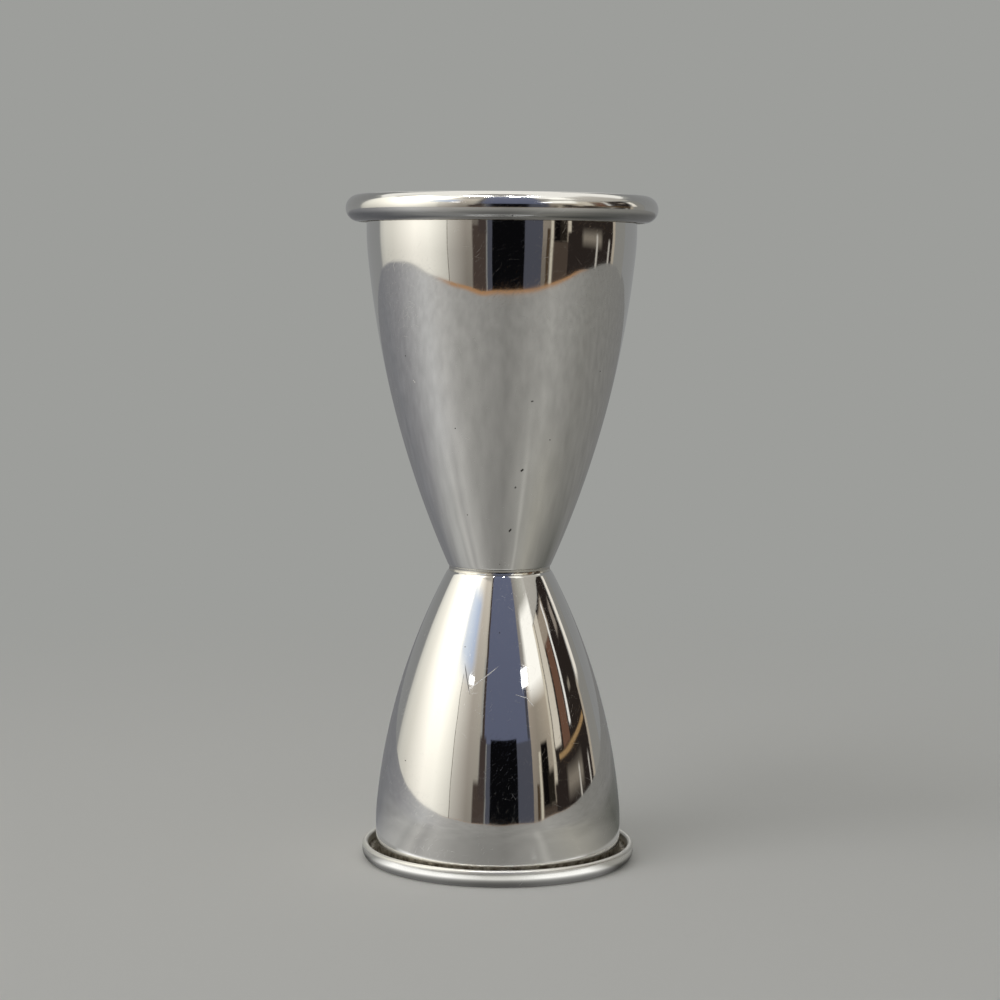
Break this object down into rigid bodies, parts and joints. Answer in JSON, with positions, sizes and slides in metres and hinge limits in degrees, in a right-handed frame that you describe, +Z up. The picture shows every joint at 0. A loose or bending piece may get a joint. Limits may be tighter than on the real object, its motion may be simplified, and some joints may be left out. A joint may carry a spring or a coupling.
{
  "type": "cocktail jigger",
  "caption": "Double-ended hourglass measure for spirits: a large and a small drawn steel cup brazed base to base at a narrow waist, each with an outward rolled rim.",
  "frame": {"origin": "centre of the small cup's rim, on the surface that it stands on", "axes": "+Z up along the axis that all pieces are turned about, from the small cup to the large cup"},
  "size_m": [0.0478, 0.0478, 0.1029],
  "materials": {
    "polished_stainless": "mirror-polished stainless steel with fine wiping scratches",
    "silver_braze": "silver brazing alloy, polished with the cups and slightly duller"
  },
  "bodies": {
    "root": {"large_cup": "polished_stainless", "small_cup": "polished_stainless", "waist_braze": "silver_braze"}
  },
  "joints": []
}
